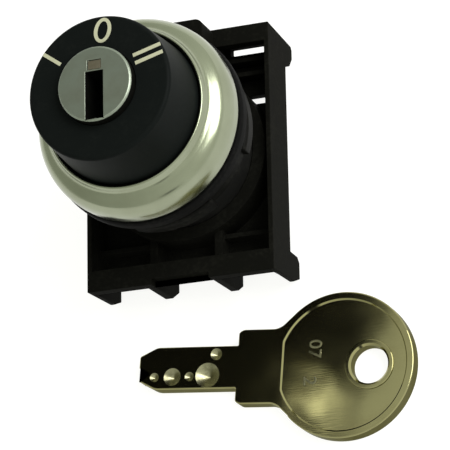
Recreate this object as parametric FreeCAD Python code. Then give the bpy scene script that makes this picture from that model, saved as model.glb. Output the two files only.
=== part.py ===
import FreeCAD, Part
import math
import os

# Selector key switch for a 22 mm panel hole, with its rear mounting adapter and its loose key.
# Frame: origin at the centre of the panel seat (rear face of the gasket), +Z out of the panel
# towards the hand, +Y up the panel, +X right. The switch stands on the feet of the adapter.

# ---- driving dimensions, mm ----
NECK_R = 11.0              # plain pilot of the neck, where the panel sits, Ø22
THREAD_R = 10.7            # threaded neck behind the pilot
BORE_FIT = 0.05            # radial clearance of turning and sliding fits
PANEL_GAP = 2.05           # gap for a 2 mm panel, as the lock ring stands here
HEAD_R = 14.35             # bezel at its widest
HEAD_Z = 4.0               # height of that widest circle above the seat
LIP_R = 11.0               # bore of the bezel, around the collar
LIP_Z = 9.4                # top of the bezel's inner lip
COLLAR_BASE_R = 10.83      # collar where it leaves the bezel
COLLAR_BASE_Z = 9.0
COLLAR_FACE_R = 10.2       # collar at its face
COLLAR_FACE_Z = 18.05
PLUG_R = 5.32
PLUG_FACE_Z = 19.6
BARREL_R = 8.1
SLEEVE_T = 0.3             # brass band round the barrel
BARREL_REAR_Z = 2.4
BARREL_FACE_Z = 16.0
FLANGE_R = 13.2            # flange of the body, inside the bezel
FLANGE_Z = 5.1
GASKET_R = 14.55
GASKET_T = 2.2
WORKS_R = 9.4              # bore of the neck, around the cam
NECK_REAR_Z = -17.5
SHAFT_R = 3.2
PLUG_SWING = 60.0          # degrees each way from the middle position
CAM_R = 9.1
CAM_TOP_Z = -3.2
CAM_MID_Z = -8.6           # height of the sloping cam face on the axis
PLUNGER_X = 7.4            # plungers stand this far from the axis
PLUNGER_STROKE = 2.0       # at the end of the plug's swing
PLUNGER_LIFT_GAP = 0.35    # between cam face and plunger head
ADAPTER_W = 28.1
ADAPTER_TOP = 17.85
ADAPTER_BOTTOM = -19.0
ADAPTER_FRONT = -10.5
ADAPTER_BACK = -17.8
FEET_Z = -21.5             # the switch stands on this plane
WALL_T = 0.7
PARTITION_OUT = 5.5        # outer faces of the two partitions
PARTITION_T = 1.2
KEY_T = 2.3
KEY_LEN = 41.0
KEY_BOW_R = 10.5
KEY_TIP = (-9.81, -28.47)  # where the tip of the loose key lies
KEY_TURN = -5.4            # degrees, direction of the loose key

V = FreeCAD.Vector
Z_AXIS = V(0, 0, 1)
os.makedirs("parts", exist_ok=True)


# ---- shape helpers ----
def revolve(points):
    """Solid turned about Z from a closed (radius, height) outline."""
    wire = Part.makePolygon([V(r, 0, z) for r, z in points + points[:1]])
    return Part.Face(wire).revolve(V(0, 0, 0), Z_AXIS, 360)


def tube(outer, inner, low, high):
    """Ring between two radii and two heights; an inner radius of 0 gives a disc."""
    ring = Part.makeCylinder(outer, high - low, V(0, 0, low))
    if inner > 0:
        ring = ring.cut(Part.makeCylinder(inner, high - low + 2, V(0, 0, low - 1)))
    return ring


def block(x0, x1, y0, y1, z0, z1):
    """Box between its low and high corners."""
    return Part.makeBox(x1 - x0, y1 - y0, z1 - z0, V(x0, y0, z0))


def rod(radius, start, direction, length):
    """Cylinder from a start point along a direction."""
    return Part.makeCylinder(radius, length, V(*start), V(*direction))


def side_plate(outline, x0, x1):
    """Plate with a (y, z) outline, standing between two x values."""
    wire = Part.makePolygon([V(x0, y, z) for y, z in outline + outline[:1]])
    return Part.Face(wire).extrude(V(x1 - x0, 0, 0))


def flat_plate(wire_points, z0, z1):
    """Plate with an (x, y) outline between two heights."""
    wire = Part.makePolygon([V(x, y, z0) for x, y in wire_points + wire_points[:1]])
    return Part.Face(wire).extrude(V(0, 0, z1 - z0))


def coil(radius, wire_r, length, turns, start, direction):
    """Helical spring from a start point along a direction."""
    helix = Part.makeHelix(length / turns, length, radius)
    ring = Part.Wire(Part.makeCircle(wire_r, V(radius, 0, 0), V(0, 1, 0)))
    spring = Part.Wire(helix).makePipeShell([ring], True, True)
    turn = FreeCAD.Rotation(Z_AXIS, V(*direction))
    spring.Placement = FreeCAD.Placement(V(*start), turn)
    return spring


def export(name, shape):
    """Write one named sub-part."""
    assert shape.isValid(), name
    shape.exportStep("parts/" + name + ".step")
    print(name, round(shape.Volume, 2), len(shape.Solids))


# ---- bezel: turned ring, domed face with a raised lip round the collar ----
def bezel_ring():
    rear_r = 13.95
    lip_outer_r = 12.4
    groove_z = 8.7
    outline = [
        V(LIP_R, 0, FLANGE_Z + 0.1), V(FLANGE_R + 0.1, 0, FLANGE_Z + 0.1),
        V(FLANGE_R + 0.1, 0, GASKET_T), V(rear_r, 0, GASKET_T), V(HEAD_R, 0, HEAD_Z - 0.9),
        V(HEAD_R, 0, HEAD_Z + 0.2), V(lip_outer_r + 0.15, 0, groove_z),
        V(lip_outer_r, 0, groove_z + 0.1), V(lip_outer_r - 0.05, 0, LIP_Z - 0.3),
        V(lip_outer_r - 0.4, 0, LIP_Z), V(LIP_R + 0.3, 0, LIP_Z), V(LIP_R, 0, LIP_Z - 0.3),
    ]
    edges = []
    for i, start in enumerate(outline):
        end = outline[(i + 1) % len(outline)]
        if i == 5:
            middle = V(13.5, 0, 6.9)
            edges.append(Part.Arc(start, middle, end).toShape())
        else:
            edges.append(Part.LineSegment(start, end).toShape())
    return Part.Face(Part.Wire(edges)).revolve(V(0, 0, 0), Z_AXIS, 360)


# ---- collar: moulded black cap that guards the lock and carries the position marks ----
def knob_collar():
    edge = 0.45
    hole_r = PLUG_R + 0.08
    skirt_r = LIP_R - 0.25
    return revolve([
        (BARREL_R + SLEEVE_T + 0.05, FLANGE_Z), (skirt_r, FLANGE_Z), (skirt_r, 7.6),
        (COLLAR_BASE_R, COLLAR_BASE_Z), (COLLAR_FACE_R + 0.03, COLLAR_FACE_Z - edge),
        (COLLAR_FACE_R - 0.13, COLLAR_FACE_Z - 0.13), (COLLAR_FACE_R - edge, COLLAR_FACE_Z),
        (hole_r, COLLAR_FACE_Z), (hole_r, BARREL_FACE_Z), (BARREL_R + SLEEVE_T + 0.05, BARREL_FACE_Z),
    ])


# ---- position marks I, 0 and II: thin printed raised strokes on the collar's face ----
MARK_TURN = -4.7           # the printed set sits slightly clockwise
MARK_STEP = 58.2
MARK_R = 8.05
MARK_T = 0.06
BAR_LEN = 3.6
BAR_W = 0.5


def mark_bar(angle, offset):
    bar = block(MARK_R - BAR_LEN / 2, MARK_R + BAR_LEN / 2, offset - BAR_W / 2, offset + BAR_W / 2,
                COLLAR_FACE_Z, COLLAR_FACE_Z + MARK_T)
    bar.rotate(V(0, 0, 0), Z_AXIS, 90 + MARK_TURN + angle)
    return bar


def zero_mark():
    """Upright rounded 0: a slot outline with a narrower slot cut out."""
    def slot(half_w, half_h):
        body = block(-half_w, half_w, half_w - half_h, half_h - half_w, 0, MARK_T)
        ends = [rod(half_w, (0, s * (half_h - half_w), 0), (0, 0, 1), MARK_T) for s in (-1, 1)]
        return body.fuse(ends[0]).fuse(ends[1]).removeSplitter()
    ring = slot(1.3, 1.85).cut(slot(0.75, 1.35))
    turn = math.radians(90 + MARK_TURN)
    ring.translate(V(MARK_R * math.cos(turn), MARK_R * math.sin(turn), COLLAR_FACE_Z))
    return ring


def legend_marks():
    spread = 0.55
    return Part.Compound([zero_mark(), mark_bar(MARK_STEP, 0), mark_bar(-MARK_STEP, spread),
                          mark_bar(-MARK_STEP, -spread)])


# ---- body: black moulding, flange in the bezel, neck through the panel, works inside ----
SEPTUM_Z = 1.0             # the wall between lock and works is this far each way from the seat
SEAL_GROOVE_R = 4.6
LATCH_GROOVE = (-13.7, -12.2, 10.2)   # low, high, radius of the groove that the latch drops in
DETENT_Z = -6.2
DETENT_BALL_R = 1.0


def operator_body():
    low, high, groove_r = LATCH_GROOVE
    seat_r = BARREL_R + SLEEVE_T + 0.05
    body = revolve([
        (SEAL_GROOVE_R, -SEPTUM_Z), (WORKS_R, -SEPTUM_Z), (WORKS_R, NECK_REAR_Z),
        (THREAD_R - 0.4, NECK_REAR_Z), (THREAD_R, NECK_REAR_Z + 0.4), (THREAD_R, low),
        (groove_r, low), (groove_r, high), (THREAD_R, high), (THREAD_R, -PANEL_GAP),
        (NECK_R, -PANEL_GAP), (NECK_R, 0), (THREAD_R, 0), (THREAD_R, GASKET_T), (FLANGE_R, GASKET_T),
        (FLANGE_R, FLANGE_Z), (seat_r, FLANGE_Z), (seat_r, SEPTUM_Z), (SEAL_GROOVE_R, SEPTUM_Z),
    ])
    for step in (-PLUG_SWING, 0, PLUG_SWING):
        angle = math.radians(90 + step)
        groove_centre = 8.55
        groove = rod(1.2, (groove_centre * math.cos(angle), groove_centre * math.sin(angle), DETENT_Z - 1.6),
                     (0, 0, 1), 3.2)
        body = body.cut(groove)
    return body


def panel_gasket():
    return tube(GASKET_R, NECK_R + 0.1, 0, GASKET_T)


# ---- lock: barrel with driver pins round the plug, and the turning plug ----
PIN_HEIGHTS = (13.4, 10.6, 7.7)
PIN_Y = -1.35
PIN_R = 0.8
SLOT_W = 2.6
SLOT_LOW = -5.0
SLOT_HIGH = 1.8
SLOT_FLOOR_Z = 3.2
TANG = 3.6                 # square tail of the plug


def pin_bore(height, radius, inner, outer):
    return rod(radius, (inner, PIN_Y, height), (1, 0, 0), outer - inner)


def lock_barrel():
    barrel = tube(BARREL_R, PLUG_R + BORE_FIT, BARREL_REAR_Z, BARREL_FACE_Z)
    for height in PIN_HEIGHTS:
        barrel = barrel.cut(pin_bore(height, PIN_R + 0.05, 3.0, 9.5))
    return barrel


def barrel_sleeve():
    return tube(BARREL_R + SLEEVE_T, BARREL_R, BARREL_REAR_Z, BARREL_FACE_Z - 0.1)


def lock_plug():
    rim = 0.25
    plug = revolve([
        (0, BARREL_REAR_Z), (PLUG_R, BARREL_REAR_Z), (PLUG_R, PLUG_FACE_Z - rim),
        (PLUG_R - rim, PLUG_FACE_Z), (0, PLUG_FACE_Z),
    ])
    slot = block(-SLOT_W / 2, SLOT_W / 2, SLOT_LOW, SLOT_HIGH, SLOT_FLOOR_Z, PLUG_FACE_Z + 1)
    entry_mark = block(-1.0, 1.0, SLOT_HIGH + 0.2, SLOT_HIGH + 1.6, PLUG_FACE_Z - 0.25, PLUG_FACE_Z + 1)
    plug = plug.cut(slot).cut(entry_mark)
    for height in PIN_HEIGHTS:
        plug = plug.cut(pin_bore(height, PIN_R + 0.05, 0.5, 6.5))
    neck = rod(3.0, (0, 0, 1.2), (0, 0, 1), BARREL_REAR_Z - 1.2)
    tang = block(-TANG / 2, TANG / 2, -TANG / 2, TANG / 2, -1.0, 1.2)
    return plug.fuse(neck).fuse(tang).removeSplitter()


def key_pins():
    pins = []
    shear = math.sqrt(PLUG_R ** 2 - (abs(PIN_Y) + PIN_R) ** 2)
    for height in PIN_HEIGHTS:
        start = SLOT_W / 2 + 0.25
        pins.append(pin_bore(height, PIN_R, start, shear - 0.05))
    return Part.Compound(pins)


def driver_pins():
    shear = PLUG_R + BORE_FIT
    return Part.Compound([pin_bore(height, PIN_R, shear, shear + 1.1) for height in PIN_HEIGHTS])


def driver_springs():
    start = PLUG_R + BORE_FIT + 1.25
    length = BARREL_R - start - 0.2
    return Part.Compound([coil(0.5, 0.12, length, 3, (start, PIN_Y, height), (1, 0, 0))
                          for height in PIN_HEIGHTS])


def plug_clip():
    ring = tube(6.2, 3.0, 1.6, 2.2)
    return ring.cut(block(-2.4, 2.4, 0, 7, 1, 3))


# ---- works: shaft, seal, cam with its detent, plungers with return springs, rear cover ----
def drive_shaft():
    shaft = rod(SHAFT_R, (0, 0, -9.5), (0, 0, 1), 10.6)
    socket = block(-TANG / 2 - 0.05, TANG / 2 + 0.05, -TANG / 2 - 0.05, TANG / 2 + 0.05, -1.2, 3)
    return shaft.cut(socket)


def shaft_seal():
    section_r = (SEAL_GROOVE_R - SHAFT_R) / 2 - 0.02
    return Part.makeTorus(SHAFT_R + section_r + 0.02, section_r, V(0, 0, 0), Z_AXIS)


def cam_slope():
    """Rise of the cam face per mm across it, so that the plungers make their stroke."""
    return PLUNGER_STROKE / (PLUNGER_X * math.sin(math.radians(PLUG_SWING)))


def switching_cam():
    cam = tube(CAM_R, SHAFT_R, CAM_MID_Z - 4, CAM_TOP_Z)
    slope = cam_slope()
    reach = 12.0
    below = side_plate([(-reach, CAM_MID_Z + slope * reach), (reach, CAM_MID_Z - slope * reach),
                        (reach, CAM_MID_Z - 12), (-reach, CAM_MID_Z - 12)], -reach, reach)
    bore = rod(DETENT_BALL_R + 0.05, (0, 4.6, DETENT_Z), (0, 1, 0), 6)
    return cam.cut(below).cut(bore)


def detent_ball():
    return Part.makeSphere(DETENT_BALL_R, V(0, WORKS_R - BORE_FIT - DETENT_BALL_R, DETENT_Z))


def detent_spring():
    end = WORKS_R - BORE_FIT - 2 * DETENT_BALL_R
    return coil(0.7, 0.15, end - 4.6 - 0.4, 4, (0, 4.8, DETENT_Z), (0, 1, 0))


COVER_HIGH_Z = -15.9
PLUNGER_ROD_R = 1.1


def plunger(side):
    top = CAM_MID_Z - PLUNGER_LIFT_GAP
    dome_r = 1.2
    seat_z = -12.2
    x = side * PLUNGER_X
    dome = Part.makeSphere(dome_r, V(x, 0, top - dome_r))
    stem = rod(dome_r, (x, 0, seat_z), (0, 0, 1), top - dome_r - seat_z)
    seat = rod(1.8, (x, 0, seat_z), (0, 0, 1), 0.6)
    tail = rod(PLUNGER_ROD_R, (x, 0, -18.6), (0, 0, 1), 18.6 + seat_z)
    return dome.fuse(stem).fuse(seat).fuse(tail).removeSplitter()


def plunger_spring(side):
    low = COVER_HIGH_Z + 0.2
    high = -12.2 - 0.2
    spring = coil(1.5, 0.18, high - low, 3, (-PLUNGER_X, 0, low), (0, 0, 1))
    if side > 0:
        spring.rotate(V(0, 0, 0), Z_AXIS, 180)
    return spring


def rear_cover():
    plate = tube(WORKS_R - 0.05, 0, COVER_HIGH_Z - 1.5, COVER_HIGH_Z)
    rim = tube(WORKS_R - 0.05, WORKS_R - 1.0, COVER_HIGH_Z - 1.5, COVER_HIGH_Z + 0.8)
    plate = plate.fuse(rim).removeSplitter()
    for side in (-1, 1):
        hole = rod(PLUNGER_ROD_R + BORE_FIT, (side * PLUNGER_X, 0, -20), (0, 0, 1), 6)
        clear = rod(2.0, (side * PLUNGER_X, 0, COVER_HIGH_Z), (0, 0, 1), 3)
        plate = plate.cut(hole).cut(clear)
    return plate


# ---- panel fixing: washer and notched ring nut on the neck ----
WASHER_T = 0.7
WASHER_R = 13.0
RING_T = 2.5
RING_R = 13.5


def thrust_washer():
    return tube(WASHER_R, THREAD_R + BORE_FIT, -PANEL_GAP - WASHER_T, -PANEL_GAP)


def lock_ring():
    notch_r = 12.5
    notches = 4
    notch_half_angle = 18
    first_notch = -35
    high = -PANEL_GAP - WASHER_T
    low = high - RING_T
    edge = 0.35
    ring = revolve([
        (THREAD_R + BORE_FIT, low), (RING_R - edge, low), (RING_R, low + edge),
        (RING_R, high - edge), (RING_R - edge, high), (THREAD_R + BORE_FIT, high),
    ])
    reach = 16.0
    for i in range(notches):
        middle = math.radians(first_notch + 360 / notches * i)
        half = math.radians(notch_half_angle)
        corners = [(reach * math.cos(middle + a), reach * math.sin(middle + a)) for a in (-half, half)]
        wedge = flat_plate([(0, 0)] + corners, low - 1, high + 1)
        wedge = wedge.cut(tube(notch_r, 0, low - 2, high + 2))
        ring = ring.cut(wedge)
    return ring


# ---- adapter: open black frame behind the panel with three bays for contact blocks ----
SIDE_OUTLINE = [
    (ADAPTER_TOP, ADAPTER_FRONT), (17.5, -20.3), (17.0, -20.7), (15.6, -20.7), (14.2, -19.6),
    (13.5, ADAPTER_BACK), (-14.4, ADAPTER_BACK), (-14.4, -20.7), (-15.1, FEET_Z), (-17.5, FEET_Z),
    (-18.5, -19.0), (ADAPTER_BOTTOM, ADAPTER_FRONT),
]
BARB_OUTLINE = [
    (-15.0, ADAPTER_BACK), (-14.6, -20.2), (-16.0, FEET_Z), (-17.2, FEET_Z), (-18.7, -19.0),
    (ADAPTER_BOTTOM, ADAPTER_FRONT), (-16.2, ADAPTER_FRONT),
]
PARTITION_FOOT = [
    (-15.0, ADAPTER_BACK), (-15.2, FEET_Z), (-17.5, FEET_Z), (-18.6, -19.6),
    (ADAPTER_BOTTOM, ADAPTER_FRONT), (-16.2, ADAPTER_FRONT),
]
UPPER_FOOT = [
    (17.2, -16.0), (17.2, -20.6), (16.4, FEET_Z), (14.8, FEET_Z), (13.9, -20.3), (13.9, -16.0),
]
PLATE_FRONT = -16.3
PLATE_LOW = -16.3          # the plate ends short of the bottom bar
BAR_T = 1.7                # depth of the top and bottom front bars
TOP_BAR_LOW = 15.1
BOTTOM_BAR_HIGH = -15.9
BOSS_R = 12.7
WEB_HALF = 4.6             # half width of the latch's way through the frame


def adapter_frame():
    half = ADAPTER_W / 2
    inner = half - WALL_T
    frame = block(-inner - 0.1, inner + 0.1, PLATE_LOW, 17.4, ADAPTER_BACK, PLATE_FRONT)
    for x in (-half, inner):
        frame = frame.fuse(side_plate(SIDE_OUTLINE, x, x + WALL_T))
    top_bar = block(-inner - 0.1, inner + 0.1, TOP_BAR_LOW, ADAPTER_TOP, ADAPTER_FRONT - BAR_T, ADAPTER_FRONT)
    roof = block(-inner - 0.1, inner + 0.1, 17.1, 17.75, ADAPTER_BACK, ADAPTER_FRONT - 1)
    bottom_bar = block(-inner - 0.1, inner + 0.1, ADAPTER_BOTTOM, BOTTOM_BAR_HIGH,
                       ADAPTER_FRONT - BAR_T, ADAPTER_FRONT)
    boss = tube(BOSS_R, 0, ADAPTER_BACK, ADAPTER_FRONT - 1.4)
    for piece in (top_bar, roof, bottom_bar, boss):
        frame = frame.fuse(piece)
    # partitions beside the boss, with a foot at each end behind the plate
    for side, foot in ((-1, BARB_OUTLINE), (1, PARTITION_FOOT)):
        x0, x1 = sorted((side * PARTITION_OUT, side * (PARTITION_OUT - PARTITION_T)))
        wall = block(x0, x1, PLATE_LOW, 17.4, ADAPTER_BACK, -13.2)
        frame = frame.fuse(wall)
        frame = frame.fuse(side_plate(foot, x0, x1))
        frame = frame.fuse(side_plate(UPPER_FOOT, x0, x1))
    # stiffening ribs across the two outer bays
    for side in (-1, 1):
        for y in (11.4, 13.6, -12.6):
            x0, x1 = sorted((side * (PARTITION_OUT - 0.3), side * (inner + 0.1)))
            frame = frame.fuse(block(x0, x1, y, y + 0.7, PLATE_FRONT - 0.1, PLATE_FRONT + 2.4))
    # raised edge of the middle bay at the bottom
    frame = frame.cut(block(-PARTITION_OUT + PARTITION_T, PARTITION_OUT - PARTITION_T, -20,
                            ADAPTER_BOTTOM + 0.85, -23, -10))
    # bore for the neck
    frame = frame.cut(rod(THREAD_R + 0.1, (0, 0, -20), (0, 0, 1), 12))
    # windows through the plate in the two outer bays
    for side in (-1, 1):
        x0, x1 = sorted((side * 6.2, side * inner))
        frame = frame.cut(block(x0, x1, 15.7, 17.1, -18.5, PLATE_FRONT + 1))
        x0, x1 = sorted((side * 8.8, side * inner))
        frame = frame.cut(block(x0, x1, 7.9, 9.2, -18.5, PLATE_FRONT + 1))
    # way for the latch: notch in the top bar and slot through the boss
    frame = frame.cut(block(-WEB_HALF, WEB_HALF, 12.9, 16.5, -14.0, -8))
    frame = frame.cut(block(-WEB_HALF, WEB_HALF, 9, 16.5, -13.9, -12.0))
    return frame.removeSplitter()


# ---- latch: slides up to let the adapter off the neck, pushed down by a small spring ----
LATCH_TOP = 17.9
LATCH_FRONT = -5.7
LATCH_TRAVEL = 1.1


def adapter_latch():
    half = 5.9
    grip = block(-half, half, 14.5, LATCH_TOP, -10.3, LATCH_FRONT)
    upright = [e for e in grip.Edges if abs(e.Vertexes[0].Z - e.Vertexes[-1].Z) > 4]
    grip = grip.makeFillet(1.2, [e for e in upright if e.Vertexes[0].Y > 16])
    web_half = WEB_HALF - 0.15
    web = block(-web_half, web_half, 13.2, 15.2, -13.55, -9.6)
    tongue = block(-web_half, web_half, 10.0, 15.2, -13.55, -12.4)
    tongue = tongue.cut(rod(LATCH_GROOVE[2] + 0.15, (0, 0, -20), (0, 0, 1), 12))
    return grip.fuse(web).fuse(tongue).removeSplitter()


def latch_spring():
    return coil(0.6, 0.12, 1.05, 3, (0, 15.35, -13.0), (0, 1, 0))


# ---- key: flat nickel-plated brass key with drilled dimples, lying beside the switch ----
KEY_BLADE = (14.9, 3.1)        # length, half width
KEY_SHOULDER = (21.0, 5.4)     # where it ends, half width
KEY_BOW_X = KEY_LEN - KEY_BOW_R
KEY_HOLE = (4.0, 2.7)          # beyond the bow's centre, radius
KEY_PANEL_X = 21.8             # straight edge of the sunk panels of the bow
KEY_DIMPLES = ((2.45, -1.3, 0.66), (5.2, -1.27, 1.27), (7.8, -1.27, 0.66), (10.55, -1.13, 1.8), (11.7, 1.9, 0.85))


def key_outline():
    blade_end, blade_half = KEY_BLADE
    shoulder_end, shoulder_half = KEY_SHOULDER
    outline = [
        (0, 1.8), (2.65, blade_half), (blade_end, blade_half), (blade_end, shoulder_half - 0.6),
        (blade_end + 0.6, shoulder_half), (shoulder_end, shoulder_half), (shoulder_end + 2.0, 7.2),
        (shoulder_end + 2.0, -7.2), (shoulder_end, -shoulder_half), (blade_end + 0.6, -shoulder_half),
        (blade_end, 0.6 - shoulder_half), (blade_end, -blade_half), (2.65, -blade_half), (0, -1.8),
        (0.3, -1.8), (1.5, -0.8), (0, 0.1),
    ]
    return outline


def key():
    plate = flat_plate(key_outline(), 0, KEY_T)
    bow = rod(KEY_BOW_R, (KEY_BOW_X, 0, 0), (0, 0, 1), KEY_T)
    edges = [e for e in bow.Edges if abs(e.Length - 2 * math.pi * KEY_BOW_R) < 0.1]
    bow = bow.makeFillet(0.35, edges)
    blank = plate.fuse(bow).removeSplitter()
    hole_x = KEY_BOW_X + KEY_HOLE[0]
    blank = blank.cut(rod(KEY_HOLE[1], (hole_x, 0, -1), (0, 0, 1), KEY_T + 2))
    for low, high in ((0, 0.35), (KEY_T, KEY_T - 0.35)):
        wide = Part.makeCone(KEY_HOLE[1] + 0.5, KEY_HOLE[1], 0.35, V(hole_x, 0, low),
                             V(0, 0, math.copysign(1, high - low)))
        blank = blank.cut(wide)
    # sunk panel on each face of the bow, inside a rim, ending in a straight step
    for z0 in (-1, KEY_T - 0.15):
        panel = rod(KEY_BOW_R - 1.0, (KEY_BOW_X, 0, z0), (0, 0, 1), 1.15)
        panel = panel.common(block(KEY_PANEL_X, 60, -20, 20, -2, 5))
        panel = panel.cut(rod(KEY_HOLE[1] + 0.7, (hole_x, 0, -3), (0, 0, 1), 10))
        blank = blank.cut(panel)
    # drilled dimples in both faces
    for x, y, radius in KEY_DIMPLES:
        depth = min(radius * 0.85, KEY_T / 2 - 0.1)
        tip_r = max(radius - depth / 0.85, 0.02)
        blank = blank.cut(Part.makeCone(radius, tip_r, depth, V(x, y, KEY_T), V(0, 0, -1)))
        blank = blank.cut(Part.makeCone(radius, tip_r, depth, V(x, -y, 0), V(0, 0, 1)))
    blank.rotate(V(0, 0, 0), Z_AXIS, KEY_TURN)
    blank.translate(V(KEY_TIP[0], KEY_TIP[1], FEET_Z))
    return blank


PARTS = {
    "bezel_ring": bezel_ring, "knob_collar": knob_collar, "legend_marks": legend_marks,
    "operator_body": operator_body, "panel_gasket": panel_gasket, "lock_barrel": lock_barrel,
    "barrel_sleeve": barrel_sleeve, "lock_plug": lock_plug, "key_pins": key_pins,
    "driver_pins": driver_pins, "driver_springs": driver_springs, "plug_clip": plug_clip,
    "drive_shaft": drive_shaft, "shaft_seal": shaft_seal, "switching_cam": switching_cam,
    "detent_ball": detent_ball, "detent_spring": detent_spring, "rear_cover": rear_cover,
    "thrust_washer": thrust_washer, "lock_ring": lock_ring, "adapter_frame": adapter_frame,
    "adapter_latch": adapter_latch, "latch_spring": latch_spring, "key": key,
}
for part_name, make in PARTS.items():
    export(part_name, make())
for side_name, side_sign in (("left", -1), ("right", 1)):
    export("plunger_" + side_name, plunger(side_sign))
    export("plunger_spring_" + side_name, plunger_spring(side_sign))
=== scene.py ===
import math

import bmesh
import bpy
from mathutils import Matrix, Vector


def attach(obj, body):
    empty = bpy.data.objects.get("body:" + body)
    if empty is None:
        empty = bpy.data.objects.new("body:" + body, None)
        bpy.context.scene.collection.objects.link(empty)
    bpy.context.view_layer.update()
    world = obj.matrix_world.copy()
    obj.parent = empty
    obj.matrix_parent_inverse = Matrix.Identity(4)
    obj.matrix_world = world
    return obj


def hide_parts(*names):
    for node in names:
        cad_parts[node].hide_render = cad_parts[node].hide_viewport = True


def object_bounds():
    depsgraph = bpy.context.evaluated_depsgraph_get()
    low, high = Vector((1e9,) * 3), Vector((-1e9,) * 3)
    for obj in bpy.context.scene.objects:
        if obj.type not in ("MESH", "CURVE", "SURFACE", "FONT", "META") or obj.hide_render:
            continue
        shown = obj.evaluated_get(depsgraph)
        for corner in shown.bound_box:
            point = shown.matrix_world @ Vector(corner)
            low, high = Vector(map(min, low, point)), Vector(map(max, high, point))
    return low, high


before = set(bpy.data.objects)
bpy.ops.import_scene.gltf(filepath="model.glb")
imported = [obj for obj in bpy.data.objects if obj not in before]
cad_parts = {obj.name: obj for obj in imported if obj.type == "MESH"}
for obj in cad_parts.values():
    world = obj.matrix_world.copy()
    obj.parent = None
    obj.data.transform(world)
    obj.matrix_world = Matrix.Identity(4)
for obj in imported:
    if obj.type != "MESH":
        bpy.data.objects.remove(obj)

cad_box = [list(corner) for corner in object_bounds()]
MM = 0.001


# ---- Bezel ring --------------------------------------------------------------------------------
# The chrome ring that shows in front of the panel. It is turned, polished and bright plated: a
# domed outer face, a broad cove inside it, and a narrow lip that stands round the collar.
def smooth_with_flats(piece):
    """Smooth shading that keeps broad faces flat beside their rounded edges."""
    for polygon in piece.data.polygons:
        polygon.use_smooth = True
    flats = piece.modifiers.new("flats", "WEIGHTED_NORMAL")
    flats.keep_sharp = True
    flats.weight = 80


def piece_from(bm, name, body, slot, *nodes):
    """Close a bmesh, turn its faces outwards, and place it on a body in the stead of CAD nodes."""
    bmesh.ops.remove_doubles(bm, verts=bm.verts, dist=0.002 * MM)
    bmesh.ops.recalc_face_normals(bm, faces=bm.faces)
    mesh = bpy.data.meshes.new(name)
    bm.to_mesh(mesh)
    bm.free()
    piece = bpy.data.objects.new(name, mesh)
    bpy.context.collection.objects.link(piece)
    smooth_with_flats(piece)
    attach(piece, body)
    if nodes:
        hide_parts(*nodes)
    return piece


def turned(outline, steps=192):
    """Lathe a closed outline of (radius, height, corner rounding) in mm about the switch's axis."""
    bm = bmesh.new()
    corners = [bm.verts.new((r * MM, 0, z * MM)) for r, z, _ in outline]
    for first, second in zip(corners, corners[1:] + corners[:1]):
        bm.edges.new((first, second))
    for corner, (_, _, rounding) in zip(corners, outline):
        if rounding:
            bmesh.ops.bevel(bm, geom=[corner], offset=rounding * MM, segments=6, profile=0.5,
                            affect="VERTICES", material=-1)
    bmesh.ops.spin(bm, geom=bm.verts[:] + bm.edges[:], cent=(0, 0, 0), axis=(0, 0, 1),
                   angle=math.tau, steps=steps, use_merge=True)
    return bm


bezel_outline = [
    (11.05, 5.25, 0), (13.3, 5.25, 0), (13.3, 2.25, 0), (13.9, 2.22, 0.1), (14.35, 3.1, 0.35),
    (14.35, 5.24, 0.72), (13.93, 6.55, 0.6), (13.35, 7.35, 0.45), (12.75, 7.75, 0.35),
    (12.2, 8.02, 0.3), (11.8, 8.45, 0.25), (11.6, 9.2, 0.12), (11.45, 9.42, 0.1),
    (11.2, 9.42, 0.1), (11.05, 9.2, 0.08),
]
bezel = piece_from(turned(bezel_outline, 256), "bezel", "operator", "bezel_chrome", "bezel_ring")


def new_group(name, inputs, outputs):
    """Start a node group with named inputs (name, kind, default) and outputs (name, kind)."""
    group = bpy.data.node_groups.new(name, "ShaderNodeTree")
    for label, kind, default in inputs:
        socket = group.interface.new_socket(label, in_out="INPUT", socket_type="NodeSocket" + kind)
        socket.default_value = default
    for label, kind in outputs:
        group.interface.new_socket(label, in_out="OUTPUT", socket_type="NodeSocket" + kind)
    nodes = group.nodes
    return group, nodes, group.links, nodes.new("NodeGroupInput"), nodes.new("NodeGroupOutput")


def noise_at(nodes, links, coordinate, scale, detail=3.0, rough=0.55):
    """Noise texture on a coordinate socket; scale is a number or a socket."""
    texture = nodes.new("ShaderNodeTexNoise")
    links.new(coordinate, texture.inputs["Vector"])
    if isinstance(scale, (int, float)):
        texture.inputs["Scale"].default_value = scale
    else:
        links.new(scale, texture.inputs["Scale"])
    texture.inputs["Detail"].default_value = detail
    texture.inputs["Roughness"].default_value = rough
    return texture.outputs["Fac"]


def remap(nodes, links, value, low, high, to_low, to_high):
    """Map a value's range to another, held at its ends."""
    node = nodes.new("ShaderNodeMapRange")
    links.new(value, node.inputs["Value"])
    for label, amount in (("From Min", low), ("From Max", high), ("To Min", to_low),
                          ("To Max", to_high)):
        if isinstance(amount, (int, float)):
            node.inputs[label].default_value = amount
        else:
            links.new(amount, node.inputs[label])
    return node.outputs["Result"]


def blend_colours(nodes, links, mask, first, second):
    """Mix two colour sockets by a mask."""
    mix = nodes.new("ShaderNodeMix")
    mix.data_type = "RGBA"
    links.new(mask, mix.inputs["Factor"])
    links.new(first, mix.inputs[6])
    links.new(second, mix.inputs[7])
    return mix.outputs[2]


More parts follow.
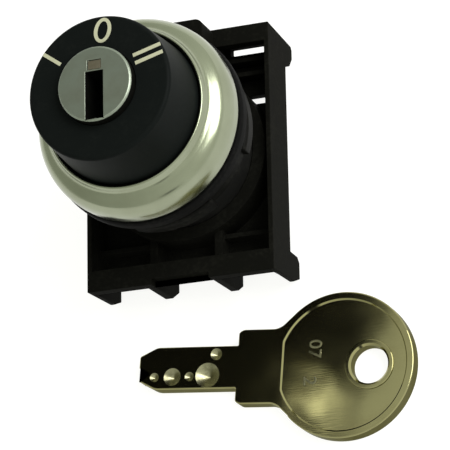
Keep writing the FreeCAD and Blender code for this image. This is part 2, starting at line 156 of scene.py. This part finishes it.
# polished metal: faint smears and hairline scratches, with darker tarnish in patches
polish, nodes, links, given, out = new_group(
    "polished metal surface",
    [("Colour", "Color", (0.5, 0.5, 0.5, 1)), ("Tarnish", "Color", (0.3, 0.3, 0.25, 1)),
     ("Tarnish Amount", "Float", 0.3), ("Smear Size", "Float", 120.0),
     ("Roughness", "Float", 0.08), ("Roughness Swing", "Float", 0.06),
     ("Scratch Depth", "Float", 0.02), ("Waviness", "Float", 0.1)],
    [("Colour", "Color"), ("Roughness", "Float"), ("Normal", "Vector")])
place = nodes.new("ShaderNodeTexCoord").outputs["Object"]
smears = noise_at(nodes, links, place, given.outputs["Smear Size"], 4.0)
patches = remap(nodes, links, smears, 0.42, 0.72, 0.0, given.outputs["Tarnish Amount"])
links.new(blend_colours(nodes, links, patches, given.outputs["Colour"], given.outputs["Tarnish"]),
          out.inputs["Colour"])
swing = nodes.new("ShaderNodeMath")
swing.operation = "MULTIPLY_ADD"
links.new(smears, swing.inputs[0])
links.new(given.outputs["Roughness Swing"], swing.inputs[1])
links.new(given.outputs["Roughness"], swing.inputs[2])
links.new(swing.outputs["Value"], out.inputs["Roughness"])
stretched = nodes.new("ShaderNodeMapping")
stretched.inputs["Rotation"].default_value = (0.3, 0.2, 0.9)
stretched.inputs["Scale"].default_value = (1.0, 14.0, 3.0)
links.new(place, stretched.inputs["Vector"])
hairlines = noise_at(nodes, links, stretched.outputs["Vector"], 420.0, 2.0)
swell = nodes.new("ShaderNodeBump")
swell.inputs["Distance"].default_value = 0.4 * MM
links.new(given.outputs["Waviness"], swell.inputs["Strength"])
links.new(noise_at(nodes, links, place, 120.0, 1.0), swell.inputs["Height"])
relief = nodes.new("ShaderNodeBump")
relief.inputs["Distance"].default_value = 0.02 * MM
links.new(swell.outputs["Normal"], relief.inputs["Normal"])
links.new(given.outputs["Scratch Depth"], relief.inputs["Strength"])
links.new(hairlines, relief.inputs["Height"])
links.new(relief.outputs["Normal"], out.inputs["Normal"])


def finished(name, group, values, metallic=0.0, **constants):
    """Material whose colour, roughness and normal come from a surface group."""
    material = bpy.data.materials.new(name)
    material.use_nodes = True
    nodes, links = material.node_tree.nodes, material.node_tree.links
    shader = nodes["Principled BSDF"]
    shader.inputs["Metallic"].default_value = metallic
    for label, amount in constants.items():
        shader.inputs[label.replace("_", " ")].default_value = amount
    surface = nodes.new("ShaderNodeGroup")
    surface.node_tree = group
    for label, amount in values.items():
        surface.inputs[label].default_value = amount
    links.new(surface.outputs["Colour"], shader.inputs["Base Color"])
    links.new(surface.outputs["Roughness"], shader.inputs["Roughness"])
    links.new(surface.outputs["Normal"], shader.inputs["Normal"])
    return material


def coat(piece, material):
    """Give a piece or a CAD object its one material."""
    piece.data.materials.clear()
    piece.data.materials.append(material)


bright_chrome = finished("bright chrome plate", polish, {
    "Colour": (0.29, 0.315, 0.225, 1), "Tarnish": (0.21, 0.225, 0.15, 1), "Tarnish Amount": 0.4,
    "Smear Size": 160.0, "Roughness": 0.13, "Roughness Swing": 0.18, "Scratch Depth": 0.12,
    "Waviness": 0.4}, metallic=1.0)
coat(bezel, bright_chrome)


# ---- Collar ------------------------------------------------------------------------------------
# The black cap that guards the lock. Injection moulded in one piece with a slight draft, a
# rounded edge round its face, and a close hole for the plug.
collar_outline = [
    (8.5, 5.15, 0), (10.72, 5.15, 0), (10.74, 8.2, 0), (10.83, 9.0, 0.2), (10.22, 18.05, 0.55),
    (5.4, 18.05, 0.06), (5.4, 16.05, 0), (8.5, 16.05, 0),
]
collar = piece_from(turned(collar_outline, 224), "collar", "operator", "collar_plastic",
                    "knob_collar")

# moulded plastic: fine spark-eroded grain, uneven gloss, and a little pale dust
moulding, nodes, links, given, out = new_group(
    "moulded plastic surface",
    [("Colour", "Color", (0.02, 0.02, 0.02, 1)), ("Dust", "Color", (0.1, 0.1, 0.08, 1)),
     ("Dust Amount", "Float", 0.1), ("Grain Size", "Float", 2500.0), ("Grain Depth", "Float", 0.2),
     ("Roughness", "Float", 0.4), ("Roughness Swing", "Float", 0.15)],
    [("Colour", "Color"), ("Roughness", "Float"), ("Normal", "Vector")])
place = nodes.new("ShaderNodeTexCoord").outputs["Object"]
clouds = noise_at(nodes, links, place, 260.0, 5.0, 0.7)
specks = noise_at(nodes, links, place, 1900.0, 2.0)
both = nodes.new("ShaderNodeMath")
both.operation = "MULTIPLY"
links.new(clouds, both.inputs[0])
links.new(specks, both.inputs[1])
dusty = remap(nodes, links, both.outputs["Value"], 0.24, 0.46, 0.0, given.outputs["Dust Amount"])
links.new(blend_colours(nodes, links, dusty, given.outputs["Colour"], given.outputs["Dust"]),
          out.inputs["Colour"])
swing = nodes.new("ShaderNodeMath")
swing.operation = "MULTIPLY_ADD"
links.new(clouds, swing.inputs[0])
links.new(given.outputs["Roughness Swing"], swing.inputs[1])
links.new(given.outputs["Roughness"], swing.inputs[2])
links.new(swing.outputs["Value"], out.inputs["Roughness"])
grain = noise_at(nodes, links, place, given.outputs["Grain Size"], 3.0)
relief = nodes.new("ShaderNodeBump")
relief.inputs["Distance"].default_value = 0.03 * MM
links.new(given.outputs["Grain Depth"], relief.inputs["Strength"])
links.new(grain, relief.inputs["Height"])
links.new(relief.outputs["Normal"], out.inputs["Normal"])

collar_black = finished("satin black collar", moulding, {
    "Colour": (0.0052, 0.0064, 0.006, 1), "Dust": (0.02, 0.022, 0.019, 1), "Dust Amount": 0.12,
    "Grain Size": 3200.0, "Grain Depth": 0.15, "Roughness": 0.38, "Roughness Swing": 0.1},
    Specular_IOR_Level=0.022)
coat(collar, collar_black)


# ---- Position marks ----------------------------------------------------------------------------
# I, 0 and II, pad printed on the collar's face in cream ink, a hair's breadth proud of it. The
# set sits slightly clockwise, and its strokes have square ends.
face_z = 18.05
ink_thick = 0.06
mark_ring_r = 8.05
marks_bm = bmesh.new()


def print_stroke(ring_r, centre_angle, stroke_angle, offset, length, width):
    """Add one bar of ink whose middle lies on a circle about the plug."""
    angle = math.radians(centre_angle)
    spot = Vector((ring_r * math.cos(angle), ring_r * math.sin(angle), face_z))
    place = (Matrix.Translation((spot + Vector((0, 0, ink_thick / 2))) * MM)
             @ Matrix.Rotation(math.radians(stroke_angle), 4, "Z")
             @ Matrix.Translation((0, offset * MM, 0))
             @ Matrix.Diagonal((length * MM, width * MM, ink_thick * MM, 1)))
    bmesh.ops.create_cube(marks_bm, size=1, matrix=place)


one_ring_r = 8.38
one_angle = 143.5
print_stroke(one_ring_r, one_angle, one_angle, 0, 3.1, 0.5)
two_angle, two_slant = 27.3, 15.5
two_half_gap = 0.59
for offset in (-two_half_gap, two_half_gap):
    print_stroke(mark_ring_r, two_angle, two_slant, offset, 4.1, 0.52)
zero_angle = math.radians(85.3)
zero_slant = math.radians(-11)
place = (Matrix.Translation((mark_ring_r * math.cos(zero_angle) * MM,
                             mark_ring_r * math.sin(zero_angle) * MM, face_z * MM))
         @ Matrix.Rotation(zero_slant, 4, "Z"))
rings = []
for half_wide, half_high in ((1.24, 1.78), (0.72, 1.3)):
    made = bmesh.ops.create_circle(marks_bm, cap_ends=False, radius=MM, segments=64, matrix=place
                                   @ Matrix.Diagonal((half_wide, half_high, 1, 1)))
    rings += list({edge for vert in made["verts"] for edge in vert.link_edges})
flat = bmesh.ops.bridge_loops(marks_bm, edges=rings)["faces"]
grown = bmesh.ops.extrude_face_region(marks_bm, geom=flat, use_keep_orig=True)
bmesh.ops.translate(marks_bm, vec=(0, 0, ink_thick * MM),
                    verts=[v for v in grown["geom"] if isinstance(v, bmesh.types.BMVert)])
marks = piece_from(marks_bm, "position_marks", "operator", "mark_ink", "legend_marks")
marks.data.set_sharp_from_angle(angle=math.radians(40))
mark_ink = finished("cream mark ink", moulding, {
    "Colour": (0.42, 0.42, 0.29, 1), "Dust": (0.2, 0.2, 0.14, 1), "Dust Amount": 0.5,
    "Grain Size": 4200.0, "Grain Depth": 0.25, "Roughness": 0.5, "Roughness Swing": 0.15},
    Specular_IOR_Level=0.3)
coat(marks, mark_ink)


# ---- Lock plug ---------------------------------------------------------------------------------
# The turning core of the lock, die-cast, turned and satin nickelled, with the key slot and a
# small sunk mark over it. Its edges are broken with a fine chamfer.
def eased_copy(node, width, segments=2, least_angle=25.0):
    """Merged copy of a CAD node with its sharp edges rounded over a width in mm."""
    bm = bmesh.new()
    bm.from_mesh(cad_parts[node].data)
    bmesh.ops.remove_doubles(bm, verts=bm.verts, dist=0.002 * MM)
    bmesh.ops.dissolve_limit(bm, angle_limit=math.radians(0.5), verts=bm.verts, edges=bm.edges)
    lows = [min(v.co[axis] for v in bm.verts) for axis in range(3)]
    highs = [max(v.co[axis] for v in bm.verts) for axis in range(3)]
    sharp = [e for e in bm.edges if len(e.link_faces) == 2
             and e.calc_face_angle() > math.radians(least_angle)]
    bmesh.ops.bevel(bm, geom=sharp, offset=width * MM, segments=segments, profile=0.5,
                    affect="EDGES", material=-1, clamp_overlap=False)
    for vert in bm.verts:  # a mitre at a nearly flat corner can reach past the piece
        vert.co = [min(max(c, low), high) for c, low, high in zip(vert.co, lows, highs)]
    return bm


plug_bm = eased_copy("lock_plug", 0.06)
plug = piece_from(plug_bm, "plug", "lock_rotor", "plug_satin", "lock_plug")
plug_nickel = finished("satin nickel plug", polish, {
    "Colour": (0.295, 0.335, 0.275, 1), "Tarnish": (0.205, 0.215, 0.165, 1), "Tarnish Amount": 0.5,
    "Smear Size": 300.0, "Roughness": 0.36, "Roughness Swing": 0.1, "Scratch Depth": 0.3},
    metallic=1.0)
coat(plug, plug_nickel)
# painted shade: a near-black copy of the plug's metal, put on the faces inside the key slot and on
# the plug's side wall, where shade falls
plug_painted_shade = finished("painted shade in keyway and on plug sides", polish, {
    "Colour": (0.035, 0.035, 0.03, 1), "Tarnish": (0.012, 0.012, 0.01, 1), "Tarnish Amount": 0.8,
    "Smear Size": 500.0, "Roughness": 0.45, "Roughness Swing": 0.1, "Scratch Depth": 0.3},
    metallic=1.0)
plug.data.materials.append(plug_painted_shade)
plug_face_z = 19.6
slot_half_width = 1.34
slot_low, slot_high = -5.04, 1.84
# faces inside the key slot and on the plug's side wall take the painted shade
for face in plug.data.polygons:
    middle = face.center / MM
    in_slot = (abs(middle.x) < slot_half_width and slot_low < middle.y < slot_high
               and middle.z < plug_face_z - 0.1)
    on_side = abs(face.normal.z) < 0.1
    if in_slot or on_side:
        face.material_index = 1  # plug_painted_shade

# the sunk mark over the slot has worn to the brass, and the tip of one pin shows in the slot
worn_brass = finished("worn brass", polish, {
    "Colour": (0.20, 0.18, 0.13, 1), "Tarnish": (0.13, 0.11, 0.07, 1), "Tarnish Amount": 0.6,
    "Smear Size": 900.0, "Roughness": 0.45, "Roughness Swing": 0.15, "Scratch Depth": 0.4},
    metallic=1.0)
wear_y = 2.7
wear_sunk = 0.18
wear_size = (1.86, 1.26, 0.14)
mark_bm = bmesh.new()
bmesh.ops.create_cube(mark_bm, size=1, matrix=Matrix.Translation(
    (0, wear_y * MM, (plug_face_z - wear_sunk) * MM))
    @ Matrix.Diagonal([size * MM for size in wear_size] + [1]))
bmesh.ops.bevel(mark_bm, geom=mark_bm.edges[:], offset=0.05 * MM, segments=2, profile=0.5,
                affect="EDGES", material=-1)
entry_mark = piece_from(mark_bm, "plug_entry_mark", "lock_rotor", "plug_satin")
coat(entry_mark, worn_brass)
pin_tip_r = 0.34
pin_tip_y, pin_tip_depth = -1.35, 1.0
tip_bm = bmesh.new()
bmesh.ops.create_icosphere(tip_bm, subdivisions=3, radius=pin_tip_r * MM,
                           matrix=Matrix.Translation((slot_half_width * MM, pin_tip_y * MM,
                                                      (plug_face_z - pin_tip_depth) * MM)))
pin_tip = piece_from(tip_bm, "keyway_pin_tip", "lock_rotor", "pin_brass")
coat(pin_tip, worn_brass)


# ---- Panel gasket ------------------------------------------------------------------------------
# Black rubber ring under the bezel, pressed on the panel. Moulded, with rounded outer edges and a
# sealing bead near its rim.
gasket_outline = [
    (11.1, 0.02, 0), (12.2, 0.02, 0), (14.2, 0.0, 0.15), (14.55, 0.35, 0.2), (14.55, 1.75, 0.2),
    (14.3, 2.18, 0.15), (11.1, 2.18, 0),
]
gasket = piece_from(turned(gasket_outline, 224), "gasket", "operator", "gasket_rubber",
                    "panel_gasket")
rubber = finished("matt black rubber", moulding, {
    "Colour": (0.003, 0.003, 0.003, 1), "Dust": (0.03, 0.03, 0.025, 1), "Dust Amount": 0.2,
    "Grain Size": 1800.0, "Grain Depth": 0.4, "Roughness": 0.6, "Roughness Swing": 0.2},
    Specular_IOR_Level=0.05)
coat(gasket, rubber)


# ---- Body, lock barrel and the works -----------------------------------------------------------
# The moulded body carries the zinc lock barrel in a brass sleeve, with brass pins and steel
# springs. Behind it sit the white acetal shaft, cam and plungers, closed by a grey-black cover.
body_black = finished("black body moulding", moulding, {
    "Colour": (0.008, 0.008, 0.0075, 1), "Dust": (0.05, 0.05, 0.04, 1), "Dust Amount": 0.2,
    "Grain Size": 2600.0, "Grain Depth": 0.25, "Roughness": 0.42, "Roughness Swing": 0.12},
    Specular_IOR_Level=0.18)
cast_zinc = finished("turned zinc", polish, {
    "Colour": (0.42, 0.43, 0.42, 1), "Tarnish": (0.25, 0.25, 0.24, 1), "Tarnish Amount": 0.5,
    "Smear Size": 300.0, "Roughness": 0.38, "Roughness Swing": 0.12, "Scratch Depth": 0.3},
    metallic=1.0)
turned_brass = finished("turned brass", polish, {
    "Colour": (0.62, 0.46, 0.2, 1), "Tarnish": (0.3, 0.2, 0.08, 1), "Tarnish Amount": 0.4,
    "Smear Size": 400.0, "Roughness": 0.25, "Roughness Swing": 0.1, "Scratch Depth": 0.3},
    metallic=1.0)
spring_steel = finished("drawn spring wire", polish, {
    "Colour": (0.5, 0.5, 0.5, 1), "Tarnish": (0.3, 0.28, 0.25, 1), "Tarnish Amount": 0.3,
    "Smear Size": 600.0, "Roughness": 0.25, "Roughness Swing": 0.1, "Scratch Depth": 0.3},
    metallic=1.0)
white_acetal = finished("white acetal", moulding, {
    "Colour": (0.62, 0.62, 0.57, 1), "Dust": (0.4, 0.39, 0.34, 1), "Dust Amount": 0.3,
    "Grain Size": 2600.0, "Grain Depth": 0.1, "Roughness": 0.35, "Roughness Swing": 0.1},
    Specular_IOR_Level=0.45)
cover_black = finished("grey-black cover", moulding, {
    "Colour": (0.03, 0.03, 0.03, 1), "Dust": (0.1, 0.1, 0.09, 1), "Dust Amount": 0.3,
    "Grain Size": 2200.0, "Grain Depth": 0.3, "Roughness": 0.5, "Roughness Swing": 0.1},
    Specular_IOR_Level=0.25)
for material, names in (
        (body_black, ("operator_body",)),
        (cast_zinc, ("lock_barrel",)),
        (turned_brass, ("barrel_sleeve", "key_pins", "driver_pins")),
        (spring_steel, ("driver_springs", "plug_clip", "detent_ball", "detent_spring",
                        "plunger_spring_left", "plunger_spring_right", "latch_spring")),
        (white_acetal, ("drive_shaft", "switching_cam", "plunger_left", "plunger_right")),
        (rubber, ("shaft_seal",)),
        (cover_black, ("rear_cover",))):
    for name in names:
        coat(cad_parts[name], material)


# ---- Thrust washer and ring nut ----------------------------------------------------------------
# A plain black washer and the notched ring nut that clamps the panel. Both are moulded, the nut
# with four wide notches for a spanner and eased edges.
washer = piece_from(eased_copy("thrust_washer", 0.12), "washer", "washer", "ring_plastic",
                    "thrust_washer")
ring_nut = piece_from(eased_copy("lock_ring", 0.18, 3), "ring_nut", "ring_nut", "ring_plastic",
                      "lock_ring")
ring_black = finished("black ring moulding", moulding, {
    "Colour": (0.004, 0.004, 0.0034, 1), "Dust": (0.035, 0.035, 0.028, 1), "Dust Amount": 0.3,
    "Grain Size": 2000.0, "Grain Depth": 0.3, "Roughness": 0.42, "Roughness Swing": 0.15},
    Specular_IOR_Level=0.05)
coat(washer, ring_black)
coat(ring_nut, ring_black)


# ---- Mounting adapter and its latch ------------------------------------------------------------
# Open frame behind the panel with three bays for contact blocks, one glass-filled black moulding
# with feet and barbs. Its latch is a separate block that slides in the top bar.
adapter = piece_from(eased_copy("adapter_frame", 0.1), "adapter", "operator", "adapter_plastic",
                     "adapter_frame")
adapter_black = finished("black adapter moulding", moulding, {
    "Colour": (0.0052, 0.0052, 0.0042, 1), "Dust": (0.026, 0.026, 0.02, 1), "Dust Amount": 0.2,
    "Grain Size": 1700.0, "Grain Depth": 0.35, "Roughness": 0.55, "Roughness Swing": 0.16},
    Specular_IOR_Level=0.01)
coat(adapter, adapter_black)

latch = piece_from(eased_copy("adapter_latch", 0.15, 3), "latch", "latch", "adapter_plastic",
                   "adapter_latch")
coat(latch, adapter_black)


# ---- Key ---------------------------------------------------------------------------------------
# Flat dimple key, stamped and milled brass with a thin nickel plate that has worn warm. Both faces
# of the bow are sunk inside a rim, and the blade has drilled dimples of different sizes.
key_thick = 2.3
key_tip = (-9.81, -28.47)
key_turn = -5.4
bow_x = 30.5
bow_r = 10.49
hole_x = 34.5
hole_r = 2.7
panel_x = 21.8
panel_depth = 0.24
panel_flare = 1.028
rim_width = 1.15
edge_round = 0.2
eyelet_width = 0.85
eyelet_round = 0.14


def closed(bm):
    """Merge a bmesh's doubles and turn its faces outwards."""
    bmesh.ops.remove_doubles(bm, verts=bm.verts, dist=0.001 * MM)
    bmesh.ops.recalc_face_normals(bm, faces=bm.faces)
    return bm


def plate(corners, arc_from, arc_turn, arc_r, low, high, steps=120):
    """Plate on a ring of (x, y, rounding) corners, closed by an arc about the bow's centre."""
    bm = bmesh.new()
    ring = [bm.verts.new((x * MM, y * MM, low * MM)) for x, y, _ in corners]
    for first, second in zip(ring, ring[1:]):
        bm.edges.new((first, second))
    start = bm.verts.new(((bow_x + arc_r * math.cos(arc_from)) * MM,
                          arc_r * math.sin(arc_from) * MM, low * MM))
    if ring:
        bm.edges.new((ring[-1], start))
    swept = bmesh.ops.spin(bm, geom=[start], cent=(bow_x * MM, 0, low * MM), axis=(0, 0, 1),
                           angle=arc_turn, steps=steps)
    end = [v for v in swept["geom_last"] if isinstance(v, bmesh.types.BMVert)][0]
    bm.edges.new((end, ring[0] if ring else start))
    for corner, (_, _, rounding) in zip(ring, corners):
        if rounding:
            bmesh.ops.bevel(bm, geom=[corner], offset=rounding * MM, segments=5, profile=0.5,
                            affect="VERTICES", material=-1)
    bmesh.ops.contextual_create(bm, geom=bm.edges[:])
    grown = bmesh.ops.extrude_face_region(bm, geom=bm.faces[:])
    bmesh.ops.translate(bm, vec=(0, 0, (high - low) * MM),
                        verts=[v for v in grown["geom"] if isinstance(v, bmesh.types.BMVert)])
    return closed(bm)


def carved(bm, tool, operation="DIFFERENCE"):
    """Cut a closed bmesh by another, or join them, and give back the result."""
    workpieces = []
    for part in (bm, tool):
        mesh = bpy.data.meshes.new("workpiece")
        closed(part).to_mesh(mesh)
        part.free()
        workpieces.append(bpy.data.objects.new("workpiece", mesh))
        bpy.context.collection.objects.link(workpieces[-1])
    cut = workpieces[0].modifiers.new("cut", "BOOLEAN")
    cut.object = workpieces[1]
    cut.operation = operation
    cut.solver = "EXACT"
    bpy.context.view_layer.update()
    shaped = workpieces[0].evaluated_get(bpy.context.evaluated_depsgraph_get())
    result = bmesh.new()
    result.from_mesh(shaped.to_mesh())
    for workpiece in workpieces:
        bpy.data.objects.remove(workpiece)
    return result


def drill(x, y, radius, tip_r, z, depth, segments=64):
    """Cone or cylinder cutter whose wide end is at a height and whose tip is below it."""
    bm = bmesh.new()
    bmesh.ops.create_cone(bm, cap_ends=True, cap_tris=False, segments=segments, radius1=tip_r * MM,
                          radius2=radius * MM, depth=depth * MM,
                          matrix=Matrix.Translation((x * MM, y * MM, (z - depth / 2) * MM)))
    return bm


join_angle = math.atan2(7.2, 23.0 - bow_x)
lower_side = [(23.0, -7.2, 0.5), (21.0, -5.4, 0.9), (15.4, -5.4, 0.45), (14.9, -4.9, 0.1),
              (14.9, -3.1, 0.12), (2.65, -3.1, 0.5), (0.0, -1.8, 0.15), (0.35, -1.75, 0.1),
              (1.5, -0.8, 0.1), (0.0, 0.1, 0.1), (0.0, 1.8, 0.25), (2.65, 3.1, 0.4),
              (14.9, 3.1, 0.12), (14.9, 4.9, 0.1), (15.4, 5.4, 0.45), (21.0, 5.4, 0.9)]
key_bm = plate(lower_side, join_angle, -2 * join_angle, bow_r, 0, key_thick)
rim = [e for e in key_bm.edges if abs(e.verts[0].co.z - e.verts[1].co.z) < 0.01 * MM
       and len(e.link_faces) == 2 and e.calc_face_angle() > 1.0]
bmesh.ops.bevel(key_bm, geom=rim, offset=edge_round * MM, segments=4, profile=0.5, affect="EDGES",
                material=-1, clamp_overlap=False)
panel_r = bow_r - rim_width
half_angle = math.acos((panel_x - bow_x) / panel_r)
straight = panel_r * math.sin(half_angle)
corner_gap = 0.01  # keeps the arc's ends off the panel's corners
past = 0.05
for low, high, outward in ((key_thick - panel_depth, key_thick + past, 1),
                           (-past, panel_depth, -1)):
    panel = plate([(panel_x, -straight, 0.5), (panel_x, straight, 0.5)],
                  half_angle - corner_gap, -2 * (half_angle - corner_gap), panel_r, low, high)
    wide = [v for v in panel.verts if (v.co.z - (low + high) / 2 * MM) * outward > 0]
    bmesh.ops.scale(panel, vec=(panel_flare, panel_flare, 1), verts=wide,
                    space=Matrix.Translation((-bow_x * MM, 0, 0)))
    key_bm = carved(key_bm, panel)
eyelet_r = hole_r + eyelet_width
eyelet = drill(hole_x, 0, eyelet_r, eyelet_r, key_thick, key_thick, 96)
ends = [e for e in eyelet.edges if abs(e.verts[0].co.z - e.verts[1].co.z) < 0.01 * MM]
bmesh.ops.bevel(eyelet, geom=ends, offset=eyelet_round * MM, segments=3, profile=0.5,
                affect="EDGES", material=-1)
key_bm = carved(key_bm, eyelet, "UNION")
key_bm = carved(key_bm, drill(hole_x, 0, hole_r, hole_r, key_thick + 1, key_thick + 2, 96))
key_bm = carved(key_bm, drill(hole_x, 0, hole_r + 0.4, hole_r - 0.1, key_thick + 0.1, 0.5, 96))
key_bm = carved(key_bm, drill(hole_x, 0, hole_r - 0.1, hole_r + 0.4, 0.4, 0.5, 96))
dimples = [(2.45, -1.3, 0.66), (5.2, -1.27, 1.27), (7.8, -1.27, 0.66), (10.55, -1.13, 1.8),
           (11.7, 1.9, 0.85)]  # x, y, radius
dimple_slope = 0.8
dimple_tip_r = 0.03
above = 0.1
for x, y, radius in dimples:
    depth = dimple_slope * radius
    mouth_r = radius * (1 + above / depth)
    key_bm = carved(key_bm, drill(x, y, mouth_r, dimple_tip_r, key_thick + above, depth + above))
    key_bm = carved(key_bm, drill(x, -y, dimple_tip_r, mouth_r, depth, depth + above))
place_key = (Matrix.Translation((key_tip[0] * MM, key_tip[1] * MM, cad_box[0][2]))
             @ Matrix.Rotation(math.radians(key_turn), 4, "Z"))
bmesh.ops.transform(key_bm, matrix=place_key, verts=key_bm.verts)
key = piece_from(key_bm, "key_blank", "loose_key", "key_nickel", "key")
key.data.set_sharp_from_angle(angle=math.radians(32))
key_nickel = finished("worn nickel plate", polish, {
    "Colour": (0.36, 0.34, 0.17, 1), "Tarnish": (0.26, 0.23, 0.10, 1), "Tarnish Amount": 0.5,
    "Smear Size": 180.0, "Roughness": 0.03, "Roughness Swing": 0.04, "Scratch Depth": 0.02,
    "Waviness": 0.05}, metallic=1.0)
coat(key, key_nickel)
key_side_nickel = finished("dull nickel on the key's edges", polish, {
    "Colour": (0.14, 0.135, 0.08, 1), "Tarnish": (0.075, 0.07, 0.04, 1), "Tarnish Amount": 0.6,
    "Smear Size": 260.0, "Roughness": 0.26, "Roughness Swing": 0.15, "Scratch Depth": 0.25},
    metallic=1.0, Specular_Tint=(0.48, 0.47, 0.36, 1))
key_recess_nickel = finished("soft nickel in the dimples", polish, {
    "Colour": (0.33, 0.32, 0.2, 1), "Tarnish": (0.1, 0.095, 0.05, 1), "Tarnish Amount": 0.8,
    "Smear Size": 700.0, "Roughness": 0.2, "Roughness Swing": 0.15, "Scratch Depth": 0.3},
    metallic=1.0)
key.data.materials.append(key_side_nickel)
key.data.materials.append(key_recess_nickel)
blade_end = 14.5
skin = 0.1
to_key = place_key.inverted()
for face in key.data.polygons:
    spot = to_key @ face.center
    if abs(face.normal.z) < 0.2:
        face.material_index = 1  # key_side_nickel
    elif (spot.x < blade_end * MM and abs(face.normal.z) < 0.93
          and skin * MM < spot.z < (key_thick - skin) * MM):
        face.material_index = 2  # key_recess_nickel

# stamp of generic digits, its strokes standing a hair proud of the sunk bow face
stamp_bm = bmesh.new()
for digits, along, across in (("07", 26.3, 2.4), ("2", 25.8, -2.2)):
    curve = bpy.data.curves.new("digits", "FONT")
    curve.body = digits
    curve.size = 2.7 * MM
    curve.align_x = curve.align_y = "CENTER"
    curve.extrude = 0.03 * MM
    curve.bevel_depth = 0.02 * MM
    holder = bpy.data.objects.new("digits", curve)
    bpy.context.collection.objects.link(holder)
    bpy.context.view_layer.update()
    shaped = holder.evaluated_get(bpy.context.evaluated_depsgraph_get())
    before = len(stamp_bm.verts)
    stamp_bm.from_mesh(shaped.to_mesh())
    fresh = list(stamp_bm.verts)[before:]
    turn = place_key @ Matrix.Translation((along * MM, across * MM, (key_thick - panel_depth) * MM))
    bmesh.ops.transform(stamp_bm, matrix=turn @ Matrix.Rotation(math.radians(-90), 4, "Z"),
                        verts=fresh)
    bpy.data.objects.remove(holder)
stamp = piece_from(stamp_bm, "key_stamped_digits", "loose_key", "key_nickel")
coat(stamp, key_recess_nickel)


# ---- Studio ------------------------------------------------------------------------------------
# A pale table top that glows evenly, under a bright tent with dark flags and one small bright
# patch, and a soft box on the right.
low_z = cad_box[0][2]
bm = bmesh.new()
bmesh.ops.create_grid(bm, x_segments=1, y_segments=1, size=3.0,
                      matrix=Matrix.Translation((0, 0, low_z)))
mesh = bpy.data.meshes.new("table_top")
bm.to_mesh(mesh)
bm.free()
table = bpy.data.objects.new("table_top", mesh)
bpy.context.collection.objects.link(table)
table_white = finished("lit white table board", moulding, {
    "Colour": (0.24, 0.24, 0.235, 1), "Dust": (0.2, 0.2, 0.19, 1), "Dust Amount": 0.2,
    "Grain Size": 300.0, "Grain Depth": 0.05, "Roughness": 0.9, "Roughness Swing": 0.05},
    Specular_IOR_Level=0.1, Emission_Color=(1.0, 1.0, 0.98, 1), Emission_Strength=0.88)
coat(table, table_white)

tent = bpy.data.worlds.new("tent")
bpy.context.scene.world = tent
tent.use_nodes = True
nodes, links = tent.node_tree.nodes, tent.node_tree.links
way = nodes.new("ShaderNodeTexCoord").outputs["Generated"]
sides = nodes.new("ShaderNodeSeparateXYZ")
links.new(way, sides.inputs["Vector"])
rightward = remap(nodes, links, sides.outputs["X"], -0.7, 0.5, 0.0, 1.0)
tent_cloth = []
for shade in ((0.58, 0.6, 0.53, 1), (0.98, 1.0, 0.92, 1)):
    cloth = nodes.new("ShaderNodeRGB")
    cloth.outputs[0].default_value = shade
    tent_cloth.append(cloth.outputs[0])
colour = blend_colours(nodes, links, rightward, *tent_cloth)
flags = [  # direction, half angle of the core, half angle where it ends, colour
    ((-0.55, 0.357, 0.755), 18.13, 18.5, (0.01, 0.01, 0.01, 1)),
    ((-0.3103, 0.2539, 0.9161), 0.1, 0.55, (2.1, 2.1, 1.8, 1)),
    ((0.24, -0.92, 0.30), 4.0, 10.0, (0.05, 0.05, 0.05, 1)),
]
for direction, core, end, shade in flags:
    toward = Vector(direction).normalized()
    dot = nodes.new("ShaderNodeVectorMath")
    dot.operation = "DOT_PRODUCT"
    links.new(way, dot.inputs[0])
    dot.inputs[1].default_value = toward
    mask = remap(nodes, links, dot.outputs["Value"], math.cos(math.radians(end)),
                 math.cos(math.radians(core)), 0.0, 1.0)
    flag_colour = nodes.new("ShaderNodeRGB")
    flag_colour.outputs[0].default_value = shade
    colour = blend_colours(nodes, links, mask, colour, flag_colour.outputs[0])
links.new(colour, nodes["Background"].inputs["Color"])
nodes["Background"].inputs["Strength"].default_value = 1.0


def soft_box(name, toward, distance, size, power):
    """Rectangular soft box that faces the switch."""
    data = bpy.data.lights.new(name, "AREA")
    data.shape = "RECTANGLE"
    data.size, data.size_y = size
    data.energy = power
    box = bpy.data.objects.new(name, data)
    toward = Vector(toward).normalized()
    box.location = toward * distance
    box.rotation_euler = toward.to_track_quat("Z", "Y").to_euler()
    box.visible_camera = False
    bpy.context.collection.objects.link(box)


soft_box("right soft box", (0.699, 0.225, 0.679), 0.6, (0.44, 0.34), 3.2)

cam_data = bpy.data.cameras.new("camera")
cam_data.lens = 240
cam_data.sensor_width = 36
cam = bpy.data.objects.new("camera", cam_data)
cam.location = (0.14632, -0.14305, 0.36297)
cam.rotation_euler = [math.radians(a) for a in (17.814, 20.825, -1.189)]
bpy.context.collection.objects.link(cam)
bpy.context.scene.camera = cam
bpy.context.scene.view_settings.view_transform = "Standard"
